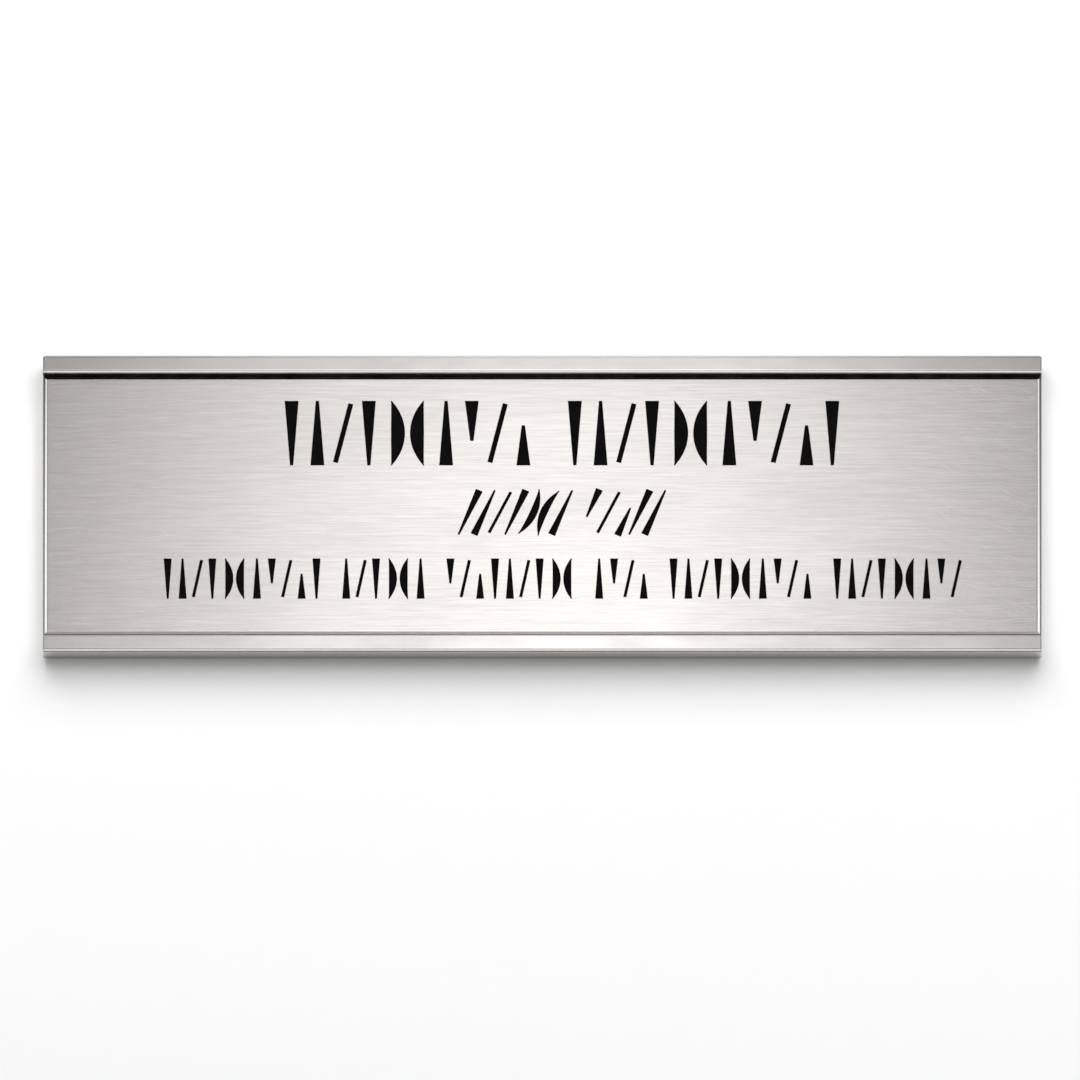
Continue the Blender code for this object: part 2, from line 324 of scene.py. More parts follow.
def holderSection():
    # outer and inner sides of the folded strip as (y, z), point for point, from lower lip to upper lip
    front, back, low, high = holderLow.y, holderHigh.y, holderLow.z, holderHigh.z
    lipBack, webFront = front + holder["lip"], back - holder["web"]
    lipMiddle = front + holder["lip"] / 2
    lowTip, highTip = low + holder["bottomLip"], high - holder["topLip"]
    slotLow, slotHigh = low + holder["rim"], high - holder["rim"]
    lowR, topR, tipR = holder["bottomLipRound"], holder["topLipRound"], holder["tipBackRound"]
    outR, backR, inR = holder["outerRound"], holder["backRound"], holder["innerRound"]
    outer = [
        (lipMiddle, lowTip), (front, lowTip), (front, low), (back, low),
        (back, high), (front, high), (front, highTip), (lipMiddle, highTip),
    ]
    inner = [
        (lipMiddle, lowTip), (lipBack, lowTip), (lipBack, slotLow), (webFront, slotLow),
        (webFront, slotHigh), (lipBack, slotHigh), (lipBack, highTip), (lipMiddle, highTip),
    ]
    outer = softPath(outer, (lowR, outR, backR, backR, holder["topOuterRound"], topR), holder["roundSteps"])
    inner = softPath(inner, (tipR, inR, inR, inR, inR, tipR), holder["roundSteps"])
    return pairedDense(outer, inner, holder["sectionStep"])


def loopNormals(loop):
    # outward normal of a closed (y, z) loop from its neighbours' chord
    chord = np.roll(loop, -1, 0) - np.roll(loop, 1, 0)
    area = np.sum(loop[:, 0] * np.roll(loop[:, 1], -1) - np.roll(loop[:, 0], -1) * loop[:, 1])
    normal = np.stack([chord[:, 1], -chord[:, 0]], 1) * np.sign(area)
    return normal / np.linalg.norm(normal, axis=1)[:, None]


def edgeRub(loop):
    # how much an outward bend is worn: its turn per length against a tight round's, from 0 to 1
    before, after = loop - np.roll(loop, 1, 0), np.roll(loop, -1, 0) - loop
    bend = before[:, 0] * after[:, 1] - before[:, 1] * after[:, 0]
    area = np.sum(loop[:, 0] * np.roll(loop[:, 1], -1) - np.roll(loop[:, 0], -1) * loop[:, 1])
    lengths = np.linalg.norm(before, axis=1) * np.linalg.norm(after, axis=1)
    turn = np.arcsin(np.clip(bend / np.maximum(lengths, 1e-15), -1, 1)) * np.sign(area)
    return np.clip(turn / np.sqrt(np.maximum(lengths, 1e-15)) * holder["outerRound"], 0, 1)


def buildHolder(material):
    # the section carried along X; near each end it shrinks by a quarter round, and a strip grid caps it
    outer, inner = holderSection()
    count = len(outer)
    loop = np.concatenate([outer, inner[-2:0:-1]])
    normals = loopNormals(loop)
    turn = np.linspace(0, np.pi / 2, holder["softSteps"] + 1)
    inset = holder["endSoft"] * (1 - np.cos(turn))
    setback = holder["endSoft"] * (1 - np.sin(turn))
    points, rows = [], 0
    for side in (-1, 1):
        for k in (range(len(turn) - 1, -1, -1) if side < 0 else range(len(turn))):
            shrunk = loop - normals * inset[k]
            reach = holderEnd(shrunk[:, 0], shrunk[:, 1]) - setback[k]
            points.append(np.column_stack([side * reach, shrunk]))
            rows += 1
        if side < 0:
            nearEnd = points[-1]
            spans = np.arange(1, holder["spans"]) / holder["spans"]
            for share in np.concatenate([[0.001], spans, [0.999]]):
                points.append(np.column_stack([nearEnd[:, 0] * (1 - 2 * share), loop]))
                rows += 1
    faces = [gridQuads(rows, len(loop), closed=True)]
    shrunk = loop - normals * holder["endSoft"]
    outerEnd = shrunk[:count]
    innerEnd = np.concatenate([shrunk[:1], shrunk[:count - 1:-1], shrunk[count - 1:count]])
    lead = int(np.sum(np.abs(outer[:, 1] - outer[0, 1]) < 1e-9)) - 1
    across = np.linspace(0, 1, 2 * lead + 1)[None, :, None]
    cap = (outerEnd[:, None] * (1 - across) + innerEnd[:, None] * across)[lead:count - lead]
    cap[0] = np.concatenate([outerEnd[lead::-1], innerEnd[1:lead + 1]])
    cap[-1] = np.concatenate([outerEnd[count - 1 - lead:], innerEnd[count - 2:count - 2 - lead:-1]])
    start = rows * len(loop)
    for side in (-1, 1):
        reach = holderEnd(cap[..., 0], cap[..., 1])
        points.append(np.concatenate([side * reach[..., None], cap], -1).reshape(-1, 3))
        faces.append(gridQuads(len(cap), cap.shape[1], start=start))
        start += len(cap) * cap.shape[1]
    points = np.concatenate(points)
    rest = np.zeros(len(points) - rows * len(loop))
    inside = np.arange(len(loop)) >= count
    # painted shade: the slot's inside (the web face only faintly, the lower lip's top not) and the top lip's
    # downward face are darkened
    underLip = ~inside & (loop[:, 1] > 0) & (loop[:, 1] < holderHigh.z - holder["topLip"] / 2)
    tip = underLip * np.clip((-normals[:, 1] - 0.8) / 0.13, 0, 0.93)
    marks = {"rub": np.concatenate([np.tile(edgeRub(loop), rows), rest])}
    lowerTip = np.abs(loop[:, 1] - outer[0, 1]) < 1e-6
    webFace = np.abs(loop[:, 0] - (holderHigh.y - holder["web"])) < 1e-6
    shadeAmount = np.maximum(np.where(inside & ~lowerTip, np.where(webFace, 0.05, 1.0), 0.0), tip)
    # painted shade: the underside darkens towards the wall, up to 0.6 at its back edge
    undersideShade = ~inside & (loop[:, 1] < holderLow.z + 0.2 * mm)
    shadeAmount = np.maximum(shadeAmount, undersideShade * np.clip(0.6 + (loop[:, 0] - holderHigh.y) / (4 * mm), 0, 1))
    marks["paintedShade"] = np.concatenate([np.tile(shadeAmount, rows), rest])
    return addPiece("holder_finish", points, np.concatenate(faces), [material], marks, weld=2e-7)


def satinAluminium():
    # drawn metal: faint die lines and patches in colour and gloss, bright edges, and painted shade in the
    # slot, under the top lip and along the underside
    material, tree, shader, where = newMaterial("satin aluminium")
    along, across = holder["dieLines"]
    lines = placeGroup(tree, brushGrain, Vector=where, Along=along, Across=across)
    patches = placeGroup(tree, handling, Vector=where, Size=45.0, Stretch=2.5)["Patches"]
    rub = addNode(tree, "ShaderNodeAttribute", attribute_name="rub").outputs["Fac"]
    worn = placeGroup(tree, edgeWear, Vector=where, Rub=rub, Break=700.0)["Mask"]
    micro = noiseValue(tree, where, holder["micro"])
    share = math2(tree, "MULTIPLY_ADD", patches, 0.4, third=math2(tree, "MULTIPLY", lines["Tone"], 0.25))
    tone = mixColour(tree, share, holder["colour"], holder["shade"])
    tone = mixColour(tree, worn, tone, holder["edgeColour"])
    # painted shade: the colour goes near-black where the mesh's shade mark is set
    shaded = addNode(tree, "ShaderNodeAttribute", attribute_name="paintedShade").outputs["Fac"]
    tone = mixColour(tree, placeGroup(tree, slotShade, Vector=where, Recess=shaded)["Mask"], tone, shadeColour)
    tree.links.new(tone, shader.inputs["Base Color"])
    shader.inputs["Metallic"].default_value = 1.0
    rough = mapRange(tree, patches, 0.0, 1.0, *holder["roughness"])
    polish = math2(tree, "MULTIPLY", worn, 0.06)
    tree.links.new(math2(tree, "SUBTRACT", rough, polish), shader.inputs["Roughness"])
    height = math2(tree, "ADD", lines["Height"], math2(tree, "MULTIPLY", micro, 0.1))
    addBump(tree, shader, height, 0.5, holder["dieDepth"] * mm)
    return material


holderPiece = buildHolder(satinAluminium())
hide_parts("holder")
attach(holderPiece, "root")


# name plate: brushed silver sheet with a bevelled panel and dark cut strokes

namePlate = {
    "bevel": 0.45 * mm, "ledge": 0.08 * mm, "topGap": 0.3 * mm, "bottomGap": 0.9 * mm,
    "bevelRound": 0.14 * mm, "footRound": 0.05 * mm, "corner": 0.1 * mm, "edge": 0.06 * mm,
    "support": 0.35 * mm, "cornerSteps": 6, "roundSteps": 5,
    "colour": (0.9, 0.856, 0.805, 1), "shade": (0.745, 0.707, 0.664, 1), "edgeColour": (0.95, 0.92, 0.895, 1),
    "roughness": (0.21, 0.27), "anisotropy": 0.5, "brush": (200.0, 5200.0), "brushDepth": 0.02,
    "flatScratches": {"Turn": 0.04, "Length": 110.0, "Fineness": 4400.0, "Sparse": 0.61},
    "slantedScratches": {"Turn": -0.5, "Length": 240.0, "Fineness": 4400.0, "Sparse": 0.645},
}

inscription = {
    "depth": 0.25 * mm, "shift": 4.0 * mm, "wordGap": 1.0, "grow": 0.07 * mm,
    "wedgePoint": 0.22, "shortWedge": 0.62, "hairLength": 0.94, "bowSag": 0.10,
    "edgeSteps": (0.0, 0.04, 0.09, 0.14, 0.22), "edgeRamp": (0.0, 0.0, 0.25, 0.92, 1.0),
    "tip": 0.10 * mm, "straightSteps": 4, "bowSteps": 28,
    "colour": (0.0015, 0.0015, 0.0015, 1), "worn": (0.005, 0.0048, 0.0045, 1), "roughness": (0.42, 0.62),
    "rows": (
        {"words": (10, 11), "margin": 43.7, "drop": 12.0, "height": 13.8,
         "thick": 2.8, "thin": 1.0, "lean": 0, "splay": 14},
        {"words": (7, 5), "margin": 80.8, "drop": 29.0, "height": 10.4,
         "thick": 1.5, "thin": 0.6, "lean": 24, "splay": 3},
        {"words": (11, 6, 9, 4, 10, 9), "margin": 19.6, "drop": 43.2, "height": 8.6,
         "thick": 1.6, "thin": 0.6, "lean": 0, "splay": 12},
    ),
}


def strokeForms(row):
    # each form: height above the row's middle, length, width at foot, width at head, extra lean, sag
    tall, thick, thin = row["height"] * mm, row["thick"] * mm, row["thin"] * mm
    point, short = inscription["wedgePoint"] * thick, inscription["shortWedge"] * tall
    lift = (tall - short) / 2
    sag = inscription["bowSag"] * tall
    nail = (0, tall, point, thick, 0, 0)
    spike = (0, tall, thick, point, 0, 0)
    hair = (0, inscription["hairLength"] * tall, thin, thin, math.radians(row["splay"]), 0)
    highNail = (lift, short, point, thick, 0, 0)
    lowSpike = (-lift, short, thick, point, 0, 0)
    rightBow = (0, tall, thick, thick, 0, sag)
    leftBow = (0, tall, thick, thick, 0, -sag)
    return (nail, spike, hair, nail, rightBow, leftBow, spike, highNail, hair, lowSpike)


def strokeGrid(x, z, lean, form, faceY):
    # s runs along the stroke, t across it. The middle line is a parabola, x = sag*(1/2 - s^2).
    # Half width is a straight taper, or w*(1 - s^2) on a bow. Depth ramps down from the rim.
    lift, length, foot, head, extraLean, sag = form
    grow = inscription["grow"]
    half = length / 2 + grow
    edge = np.array(inscription["edgeSteps"]) * mm
    ramp = np.array(inscription["edgeRamp"])
    steps = inscription["bowSteps"] if sag else inscription["straightSteps"]
    if sag:
        inside = np.sin(np.linspace(-1, 1, steps + 1) * np.pi / 2) * (half - edge[-1])
    else:
        inside = np.linspace(-1, 1, steps + 1) * (half - edge[-1])
    along = np.concatenate([-half + edge[:-1], inside, half - edge[-2::-1]])
    rampAlong = np.concatenate([ramp[:-1], np.ones(len(inside)), ramp[-2::-1]])
    s = along / half
    if sag:
        width = np.maximum(head / 2 * (1 - s ** 2), inscription["tip"]) + grow
    else:
        width = (foot * (1 - s) + head * (1 + s)) / 4 + grow
    squeeze = np.minimum(1, width / (edge[-1] * 1.25))[:, None]
    near = edge[None] * squeeze - width[:, None]
    far = width[:, None] - edge[None, ::-1] * squeeze
    across = np.concatenate([near, 0 * squeeze, far], 1)
    rampAcross = np.concatenate([ramp, [1], ramp[::-1]])
    slope = np.stack([-2 * sag * s / half, np.ones_like(s)], 1)
    slope /= np.linalg.norm(slope, axis=1)[:, None]
    px = (sag * (0.5 - s ** 2))[:, None] + slope[:, 1:] * across
    pz = along[:, None] - slope[:, :1] * across
    turn = lean + extraLean
    depth = inscription["depth"] * np.minimum(rampAlong[:, None], rampAcross[None, :])
    gridX = x + px * math.cos(turn) + pz * math.sin(turn)
    gridZ = z + lift + pz * math.cos(turn) - px * math.sin(turn)
    return np.stack([gridX, faceY + depth, gridZ], -1)


def allStrokes(panelHigh, faceY):
    # forms in turn along each row, one a pitch, with an empty pitch between words
    grids = []
    for row in inscription["rows"]:
        forms = strokeForms(row)
        rowLength = plateHigh.x - plateLow.x - 2 * row["margin"] * mm
        pitch = rowLength / (sum(row["words"]) + inscription["wordGap"] * (len(row["words"]) - 1))
        place, count = 0.5, 0
        for word in row["words"]:
            for _ in range(word):
                x = inscription["shift"] - rowLength / 2 + place * pitch
                form = forms[count % len(forms)]
                middle = panelHigh - row["drop"] * mm
                grids.append(strokeGrid(x, middle, math.radians(row["lean"]), form, faceY))
                place += 1
                count += 1
            place += inscription["wordGap"]
    return grids


def roundedRing(halfLength, low, high, radius, y):
    # a rectangle seen from the front with quarter-round corners, counter-clockwise from lower right
    turn = np.linspace(0, np.pi / 2, namePlate["cornerSteps"] + 1)
    corners = []
    for k, (cx, cz) in enumerate(((1, 0), (1, 1), (-1, 1), (-1, 0))):
        angle = turn + (k - 1) * np.pi / 2
        x = cx * (halfLength - radius) + radius * np.cos(angle)
        z = (high - radius if cz else low + radius) + radius * np.sin(angle)
        corners.append(np.column_stack([x, np.full_like(x, y), z]))
    return np.concatenate(corners)


def plateRings(panelLow, panelHigh):
    # rings from the face out over the bevel, across the border, round the edge and onto the back
    face, back = plateLow.y, plateHigh.y
    bevel, ledge, edge, corner = (namePlate[k] for k in ("bevel", "ledge", "edge", "corner"))
    border = face + bevel
    path = [(-bevel - namePlate["support"], face), (-bevel, face), (0, border), (ledge / 2, border)]
    path = softPath(path, (namePlate["bevelRound"], namePlate["footRound"]), namePlate["roundSteps"])
    inner = plateHigh.x - ledge
    rings = [roundedRing(inner + d, panelLow - d, panelHigh + d, corner, y) for d, y in path]
    rub = np.zeros(len(path) + 5)
    rub[1:namePlate["roundSteps"] + 2] = 1
    last = edge + namePlate["support"]
    for d, y in ((edge, border), (0, border + edge), (0, back - edge), (edge, back), (last, back)):
        rings.append(roundedRing(plateHigh.x - d, plateLow.z + d, plateHigh.z - d, corner, y))
    return rings, rub


def gridRim(rows, columns, start):
    # the grid's outer points in order: foot, right side, head, left side
    ids = start + np.arange(rows * columns).reshape(rows, columns)
    return np.concatenate([ids[0], ids[1:, -1], ids[-1, -2::-1], ids[-2:0:-1, 0]])


def faceTriangles(points, outline, holes):
    # fills the flat face between the outline and the stroke rims with triangles
    loops = [outline] + holes
    order = np.concatenate(loops)
    flat = [Vector((p[0] / mm, p[2] / mm)) for p in points[order]]
    ends = np.cumsum([len(loop) for loop in loops])
    sides = [list(range(end - len(loop), end)) for loop, end in zip(loops, ends)]
    made = delaunay_2d_cdt(flat, [], sides, 1, 1e-7)
    first = [order[origin[0]] for origin in made[3]]
    return [[first[i] for i in tri] for tri, origin in zip(made[2], made[5]) if list(origin) == [0]]


def buildNamePlate(materials):
    # rings make the bevel, edge and back, grids the strokes, and triangles the face between them;
    # painted shade comes from how deep a point lies below the face: over the top bevel under the lip, and
    # from the bevel's foot outward, most along the bottom
    panelLow = holderLow.z + holder["bottomLip"] + namePlate["bottomGap"]
    panelHigh = holderHigh.z - holder["topLip"] - namePlate["topGap"]
    rings, rub = plateRings(panelLow, panelHigh)
    size = len(rings[0])
    points = list(rings)
    faces = [gridQuads(len(rings), size, closed=True)]
    paint = [np.zeros(len(faces[0]), int)]
    start = len(rings) * size
    holes = []
    edge = len(inscription["edgeSteps"])
    for grid in allStrokes(panelHigh, plateLow.y):
        rows, columns = grid.shape[:2]
        points.append(grid.reshape(-1, 3))
        quads = gridQuads(rows, columns, start=start)
        i = np.arange(rows - 1)[:, None]
        j = np.arange(columns - 1)[None, :]
        rim = np.minimum(np.minimum(i, rows - 2 - i), np.minimum(j, columns - 2 - j))
        faces.append(quads)
        paint.append(np.where(rim < 1, 0, np.where(rim < 2, 2, 1)).ravel())
        holes.append(gridRim(rows, columns, start))
        start += rows * columns
    points = np.concatenate(points)
    face = faceTriangles(points, np.arange(size), holes)
    backFace = list(range((len(rings) - 1) * size, len(rings) * size))
    polygons = [list(q) for block in faces for q in block] + face + [backFace]
    paint = np.concatenate(paint + [np.zeros(len(face) + 1, int)])
    rest = np.zeros(len(points) - len(rings) * size)
    # painted shade: along the top it deepens over the bevel, elsewhere it starts at the bevel's foot (0.85 at
    # the bottom, 0.1 at the ends)
    sunk = (np.concatenate(rings)[:, 1] - plateLow.y) / namePlate["bevel"]
    upper = np.concatenate(rings)[:, 2] > panelHigh - namePlate["bevel"] * 1.4
    lower = np.concatenate(rings)[:, 2] < panelLow + namePlate["bevel"] * 1.4
    foot = np.clip((sunk - 0.97) * 30, 0, np.where(lower, 0.85, 0.1))
    marks = {"rub": np.concatenate([np.repeat(rub, size), rest])}
    marks["paintedShade"] = np.concatenate([np.where(upper, np.clip(sunk * 1.3, 0, 1), foot), rest])
    piece = addPiece("name_plate_finish", points, polygons, materials, marks, paint, weld=1e-8)
    brushMap = piece.data.uv_layers.new(name="brush")
    spots = np.empty(len(piece.data.vertices) * 3)
    piece.data.vertices.foreach_get("co", spots)
    corner = np.empty(len(piece.data.loops), np.int32)
    piece.data.loops.foreach_get("vertex_index", corner)
    spots = spots.reshape(-1, 3)[corner]
    brushMap.data.foreach_set("uv", (spots[:, [2, 0]] * 4 + 0.5).ravel())
    return piece


def brushedSilver():
    # streaks along X in colour, gloss and relief, with scratches that fade in away from the middle
    material, tree, shader, where = newMaterial("brushed silver")
    along, across = namePlate["brush"]
    lines = placeGroup(tree, brushGrain, Vector=where, Along=along, Across=across)
    patches = placeGroup(tree, handling, Vector=where, Size=28.0, Stretch=3.0)["Patches"]
    flat = placeGroup(tree, hairScratches, Vector=where, **namePlate["flatScratches"])["Mask"]
    slanted = placeGroup(tree, hairScratches, Vector=where, **namePlate["slantedScratches"])["Mask"]
    marks = math2(tree, "MAXIMUM", flat, slanted)
    rub = addNode(tree, "ShaderNodeAttribute", attribute_name="rub").outputs["Fac"]
    worn = placeGroup(tree, edgeWear, Vector=where, Rub=rub, Break=900.0)["Mask"]
    away = addNode(tree, "ShaderNodeSeparateXYZ", {"Vector": where}).outputs["X"]
    away = mapRange(tree, math2(tree, "ABSOLUTE", away, 0.0), 0.05, 0.1, 0.1, 1.0)
    marks = math2(tree, "MULTIPLY", marks, away)
    streaks = math2(tree, "MULTIPLY", lines["Tone"], 0.7)
    bright = math2(tree, "MAXIMUM", worn, math2(tree, "MULTIPLY", marks, 0.6))
    tone = mixColour(tree, streaks, namePlate["colour"], namePlate["shade"])
    tone = mixColour(tree, bright, tone, namePlate["edgeColour"])
    # painted shade: the colour goes near-black where the mesh's shade mark is set
    shaded = addNode(tree, "ShaderNodeAttribute", attribute_name="paintedShade").outputs["Fac"]
    tone = mixColour(tree, placeGroup(tree, slotShade, Vector=where, Recess=shaded)["Mask"], tone, shadeColour)
    tree.links.new(tone, shader.inputs["Base Color"])
    shader.inputs["Metallic"].default_value = 1.0
    shader.inputs["Anisotropic"].default_value = namePlate["anisotropy"]
    uneven = math2(tree, "MULTIPLY", math2(tree, "ADD", patches, lines["Tone"]), 0.5)
    tree.links.new(mapRange(tree, uneven, 0.0, 1.0, *namePlate["roughness"]), shader.inputs["Roughness"])
    tangent = addNode(tree, "ShaderNodeTangent", direction_type="UV_MAP", uv_map="brush")
    tree.links.new(tangent.outputs[0], shader.inputs["Tangent"])
    height = math2(tree, "SUBTRACT", lines["Height"], math2(tree, "MULTIPLY", marks, 0.5))
    addBump(tree, shader, height, 0.4, namePlate["brushDepth"] * mm)
    return material


def darkCut():
    # the dark floor of a stroke, a little uneven where the cutter passed
    material, tree, shader, where = newMaterial("dark cut")
    lines = placeGroup(tree, brushGrain, Vector=where, Along=900.0, Across=6500.0)
    patches = placeGroup(tree, handling, Vector=where, Size=400.0, Stretch=1.0)["Patches"]
    passes = math2(tree, "MULTIPLY", patches, lines["Tone"])
    tone = mixColour(tree, passes, inscription["colour"], inscription["worn"])
    tree.links.new(tone, shader.inputs["Base Color"])
    tree.links.new(mapRange(tree, patches, 0.0, 1.0, *inscription["roughness"]), shader.inputs["Roughness"])
    shader.inputs["Specular IOR Level"].default_value = 0.04
    addBump(tree, shader, lines["Height"], 0.5, 0.03 * mm)
    return material


def cutBurr():
    # the thin bare rim that a cutter leaves round a stroke
    material, tree, shader, where = newMaterial("cut burr")
    patches = placeGroup(tree, handling, Vector=where, Size=900.0, Stretch=1.0)["Patches"]
    tone = mixColour(tree, patches, namePlate["colour"], namePlate["edgeColour"])
    tree.links.new(tone, shader.inputs["Base Color"])
    tree.links.new(mapRange(tree, patches, 0.0, 1.0, 0.3, 0.45), shader.inputs["Roughness"])
    shader.inputs["Metallic"].default_value = 1.0
    return material


platePiece = buildNamePlate([brushedSilver(), darkCut(), cutBurr()])
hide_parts("name_plate")
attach(platePiece, "root")


# studio: white wall, pale floor, soft lights

studio = {
    "wallGap": 0.3 * mm, "wallSize": 4.0, "floorDrop": 0.9,
    "wallColour": (0.9, 0.9, 0.9, 1), "floorColour": (0.86, 0.86, 0.85, 1),
    "worldSeen": 0.97, "worldLight": 0.36, "worldMirror": 0.13, "glowTint": (0.985, 1.0, 1.03, 1),
    "wallMirror": 0.12, "floorMirror": 0.6, "dimFrom": (0.037, 0.040), "covered": (0.1006, 0.0308),
    "cards": (
        ("soft glow", (0.004, -0.5, 0.136), (0.004, 0, 0.136), 1.71, 0.16, 1.0),
        ("soft glow below", (-0.03, -0.53, 0.06), (-0.03, 0, 0.06), 0.19, 0.18, 1.0),
        ("upper glow", (0.004, -0.389, 0.389), (0.004, 0, 0), 2.4, 0.13, 1.0),
        ("high glow", (0.004, -0.142, 0.531), (0.004, 0, 0), 1.1, 0.3, 0.6),
        ("low front glow", (0.004, -0.517, -0.188), (0.004, 0, 0), 0.84, 0.45, 0.31),
        ("lower front glow", (0.004, -0.421, -0.354), (0.004, 0, 0), 0.74, 0.45, 0.31),
        ("lowest front glow", (0.004, -0.275, -0.476), (0.004, 0, 0), 0.42, 0.45, 0.31),
        ("left glow", (-0.6, -0.06, 0.2), (0, 0, 0), 1.2, 0.3, 1.0),
        ("right glow", (0.6, -0.06, 0.2), (0, 0, 0), 1.35, 0.3, 1.0),
        ("left wing glow", (-0.5, -0.38, 0.08), (0, 0, 0), 0.55, 0.56, 1.0),
        ("right wing glow", (0.5, -0.38, 0.08), (0, 0, 0), 0.55, 0.56, 1.0),
        ("left upper glow", (-0.3, -0.37, 0.44), (0, 0, 0), 0.6, 0.36, 1.0),
        ("right upper glow", (0.3, -0.37, 0.44), (0, 0, 0), 0.6, 0.36, 1.0),
        ("left lower glow", (-0.3, -0.4, -0.4), (0, 0, 0), 0.3, 0.36, 1.0),
        ("right lower glow", (0.3, -0.4, -0.4), (0, 0, 0), 0.3, 0.36, 1.0),
        ("back glow", (0.0, 0.6, 0.05), (0, 0, 0), 0.6, 1.2, 1.0),
    ),
    "flag": {"height": -0.35, "near": 0.0, "far": -0.08, "half": 1.2},
    "lamps": (
        ("high key", (0.0, -0.465, 0.997), (0, 0, 0), 1.8, 0.3, 8.3, False),
        ("upper key", (0.0, -0.707, 0.843), (0, 0, 0), 1.8, 0.3, 6.1, False),
        ("front upper", (0.0, -0.901, 0.631), (0, 0, 0), 1.8, 0.3, 2.95, False),
        ("front lower", (0.0, -1.034, 0.376), (0, 0, 0), 1.8, 0.3, 2.15, False),
        ("left fill", (-0.609, -0.870, 0.285), (0, 0, 0), 0.3, 0.5, 0.55, False),
        ("right fill", (0.609, -0.870, 0.285), (0, 0, 0), 0.3, 0.5, 1.2, False),
        ("behind", (0.3, 1.1, 0.5), (0, 0, 0), 1.0, 1.0, 9.0, False),
    ),
    "pixels": 1080, "pixelsPerMetre": 4917.0, "elevation": -18.5,
    "offRight": 2.3, "offUp": 33.1, "distance": 1.0,
}


def flatSheet(name, corners, material):
    # one stage sheet from four corners, as a 2 x 2 grid of points
    mesh = bpy.data.meshes.new(name)
    mesh.from_pydata([tuple(c) for c in corners], [], gridQuads(2, 2).tolist())
    mesh.materials.append(material)
    sheet = bpy.data.objects.new(name, mesh)
    bpy.context.scene.collection.objects.link(sheet)
    return sheet


def paleWall():
    # white paint in front, clear from behind, for shadows, and for reflections where the holder covers it;
    # away from the holder it is dimmed for reflections
    material, tree, shader, where = newMaterial("pale wall")
    grain = noiseValue(tree, where, 160.0)
    paint = mixColour(tree, grain, studio["wallColour"], (0.91, 0.91, 0.91, 1))
    rays = addNode(tree, "ShaderNodeLightPath").outputs
    place = addNode(tree, "ShaderNodeSeparateXYZ", {"Vector": where}).outputs
    side = math2(tree, "ABSOLUTE", place["X"], 0.0)
    level = math2(tree, "ABSOLUTE", place["Z"], 0.0)
    away = mapRange(tree, level, *studio["dimFrom"], 0.0, 1.0)
    dim = math2(tree, "MULTIPLY", away, rays["Is Glossy Ray"])
    grey = [studio["wallMirror"] * c for c in studio["wallColour"][:3]] + [1]
    tree.links.new(mixColour(tree, dim, paint, grey), shader.inputs["Base Color"])
    shader.inputs["Roughness"].default_value = 1.0
    shader.inputs["Specular IOR Level"].default_value = 0.0
    clear = addNode(tree, "ShaderNodeBsdfTransparent")
    behind = addNode(tree, "ShaderNodeNewGeometry").outputs["Backfacing"]
    inLength = math2(tree, "LESS_THAN", side, studio["covered"][0])
    inHeight = math2(tree, "LESS_THAN", level, studio["covered"][1])
    covered = math2(tree, "MULTIPLY", inLength, inHeight)
    hidden = math2(tree, "MULTIPLY", covered, rays["Is Glossy Ray"])
    share = math2(tree, "MAXIMUM", math2(tree, "MAXIMUM", behind, rays["Is Shadow Ray"]), hidden)
    mixed = addNode(tree, "ShaderNodeMixShader", {0: share, 1: shader.outputs[0], 2: clear.outputs[0]})
    tree.links.new(mixed.outputs[0], tree.nodes["Material Output"].inputs["Surface"])
    return material


def paleFloor():
    # pale board, dimmed for reflections so that metal seen from above doesn't burn out
    material, tree, shader, where = newMaterial("pale floor")
    grain = noiseValue(tree, where, 60.0, 3.0)
    paint = mixColour(tree, grain, studio["floorColour"], (0.9, 0.9, 0.89, 1))
    glossy = addNode(tree, "ShaderNodeLightPath").outputs["Is Glossy Ray"]
    grey = [studio["floorMirror"] * c for c in studio["floorColour"][:3]] + [1]
    tree.links.new(mixColour(tree, glossy, paint, grey), shader.inputs["Base Color"])
    shader.inputs["Roughness"].default_value = 0.9
    return material


def areaLight(name, place, aim, width, height, power, mirrored):
    # a soft rectangle turned to its aim; reflections see it only if mirrored
    data = bpy.data.lights.new(name, "AREA")
    data.shape = "RECTANGLE"
    data.size, data.size_y = width, height
    data.energy = power
    lamp = bpy.data.objects.new(name, data)
    lamp.location = place
    lamp.rotation_euler = (Vector(aim) - Vector(place)).to_track_quat("-Z", "Y").to_euler()
    lamp.visible_camera = False
    lamp.visible_glossy = mirrored
    bpy.context.scene.collection.objects.link(lamp)
    return lamp


def softWorld():
    # white behind the stage for the camera, soft light for surfaces, and a dim field for reflections
    world = bpy.data.worlds.new("studio air")
    bpy.context.scene.world = world
    world.use_nodes = True
    tree = world.node_tree
    tree.nodes.clear()
    ray = addNode(tree, "ShaderNodeLightPath").outputs
    light = mapRange(tree, ray["Is Glossy Ray"], 0.0, 1.0, studio["worldLight"], studio["worldMirror"])
    level = mapRange(tree, ray["Is Camera Ray"], 0.0, 1.0, 0.0, 1.0)
    seen = addNode(tree, "ShaderNodeBackground", {"Color": (1, 1, 1, 1), "Strength": studio["worldSeen"]})
    given = addNode(tree, "ShaderNodeBackground", {"Color": (1, 1, 1, 1), "Strength": light})
    mixed = addNode(tree, "ShaderNodeMixShader", {0: level, 1: given.outputs[0], 2: seen.outputs[0]})
    out = addNode(tree, "ShaderNodeOutputWorld")
    tree.links.new(mixed.outputs[0], out.inputs["Surface"])


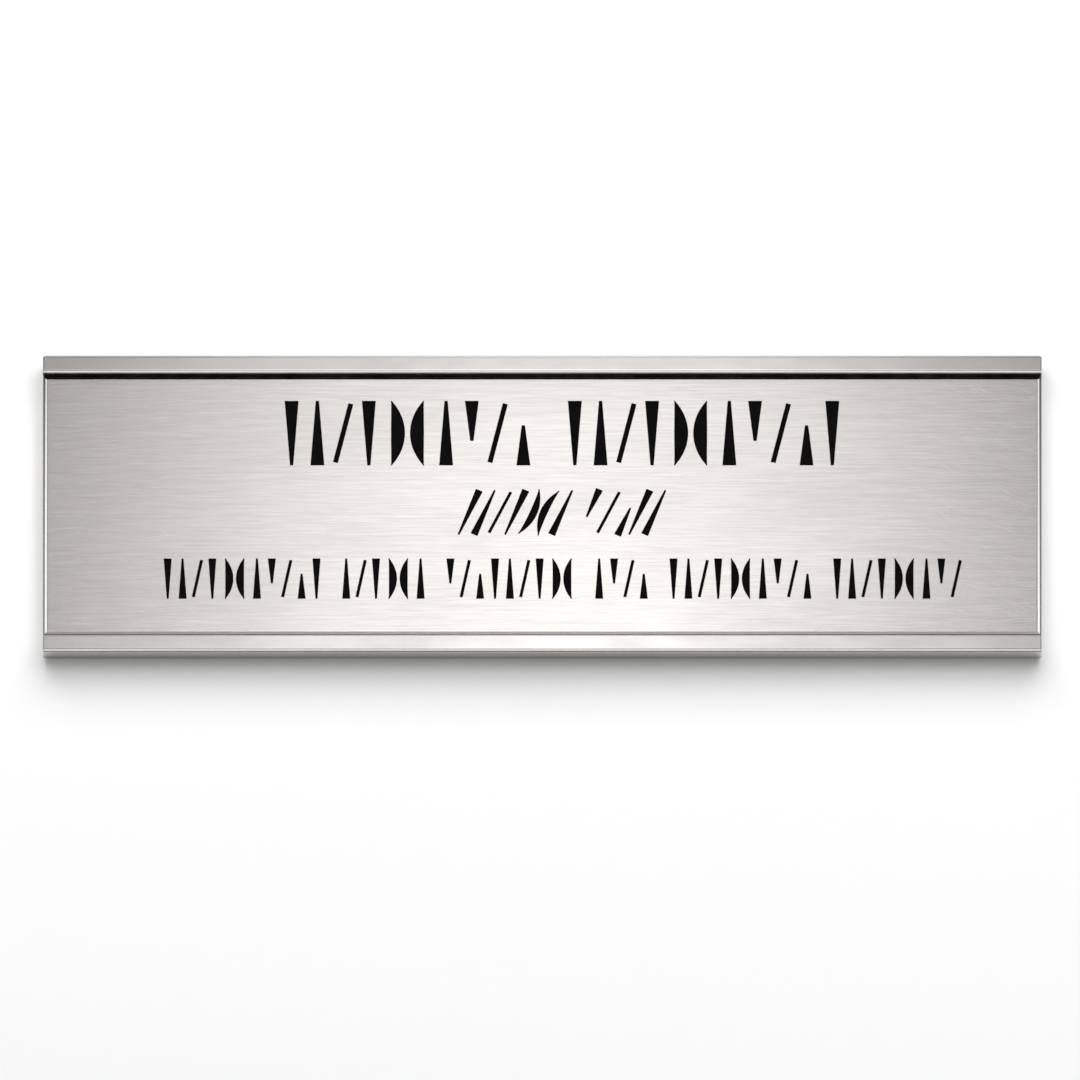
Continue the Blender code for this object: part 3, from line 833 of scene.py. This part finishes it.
def glowCard(name, place, aim, peak, reach, squash):
    # a soft round glow: strength = peak * smoothstep(1 - distance from the card's middle / reach)
    material = bpy.data.materials.new(name)
    material.use_nodes = True
    tree = material.node_tree
    tree.nodes.clear()
    where = addNode(tree, "ShaderNodeTexCoord").outputs["Object"]
    drawn = addNode(tree, "ShaderNodeVectorMath", {0: where, 1: (1, 1 / squash, 1)}, operation="MULTIPLY")
    far = addNode(tree, "ShaderNodeVectorMath", {0: drawn.outputs[0]}, operation="LENGTH").outputs["Value"]
    limits = {"Value": far, "From Min": 0.0, "From Max": reach, "To Min": 1.0, "To Max": 0.0}
    fall = addNode(tree, "ShaderNodeMapRange", limits, interpolation_type="SMOOTHSTEP")
    strength = math2(tree, "MULTIPLY", fall.outputs[0], peak)
    glow = addNode(tree, "ShaderNodeEmission", {"Color": studio["glowTint"], "Strength": strength})
    clear = addNode(tree, "ShaderNodeBsdfTransparent")
    both = addNode(tree, "ShaderNodeAddShader", {0: glow.outputs[0], 1: clear.outputs[0]})
    out = addNode(tree, "ShaderNodeOutputMaterial")
    tree.links.new(both.outputs[0], out.inputs["Surface"])
    tall = reach * squash
    corners = [(x, z, 0) for z in (-tall, tall) for x in (-reach, reach)]
    card = flatSheet(name, corners, material)
    card.location = place
    card.rotation_euler = (Vector(aim) - Vector(place)).to_track_quat("Z", "Y").to_euler()
    card.visible_camera = card.visible_diffuse = card.visible_shadow = False
    return card


def blackFlag(name, corners):
    # a black board that only reflections see
    material, tree, shader, where = newMaterial(name)
    weave = noiseValue(tree, where, 300.0)
    tone = mixColour(tree, weave, (0.004, 0.004, 0.004, 1), (0.01, 0.01, 0.01, 1))
    tree.links.new(tone, shader.inputs["Base Color"])
    shader.inputs["Roughness"].default_value = 1.0
    shader.inputs["Specular IOR Level"].default_value = 0.0
    flag = flatSheet(name, corners, material)
    flag.visible_camera = flag.visible_diffuse = flag.visible_shadow = False
    return flag


half = studio["wallSize"] / 2
wallY = holderHigh.y + studio["wallGap"]
floorZ = -studio["floorDrop"]
flatSheet("wall", [(x, wallY, z) for z in (floorZ, half) for x in (-half, half)], paleWall())
floor = flatSheet("floor", [(x, y, floorZ) for y in (-half, half) for x in (-half, half)], paleFloor())
floor.visible_diffuse = False
softWorld()
for card in studio["cards"]:
    glowCard(*card)
flag = studio["flag"]
flagSides, flagDepths = (-flag["half"], flag["half"]), (flag["near"], flag["far"])
blackFlag("black flag", [(x, y, flag["height"]) for y in flagDepths for x in flagSides])
for lamp in studio["lamps"]:
    areaLight(*lamp)


def photoCamera():
    # looks up at the plate from below, level with its length, with no perspective
    rise = math.radians(studio["elevation"])
    toward = Vector((0, math.cos(rise), -math.sin(rise)))
    right, up = Vector((1, 0, 0)), Vector((0, math.sin(rise), math.cos(rise)))
    metre = 1 / studio["pixelsPerMetre"]
    middle = (cadBounds[0] + cadBounds[1]) / 2
    aim = Vector(middle) - right * studio["offRight"] * metre - up * studio["offUp"] * metre
    data = bpy.data.cameras.new("photo camera")
    data.type = "ORTHO"
    data.ortho_scale = studio["pixels"] * metre
    data.clip_start, data.clip_end = 0.01, 20.0
    camera = bpy.data.objects.new("photo camera", data)
    camera.location = aim - toward * studio["distance"]
    camera.rotation_euler = toward.to_track_quat("-Z", "Y").to_euler()
    bpy.context.scene.collection.objects.link(camera)
    bpy.context.scene.camera = camera


photoCamera()
bpy.context.scene.view_settings.view_transform = "Standard"
bpy.context.scene.view_settings.look = "None"
print("studio ready")
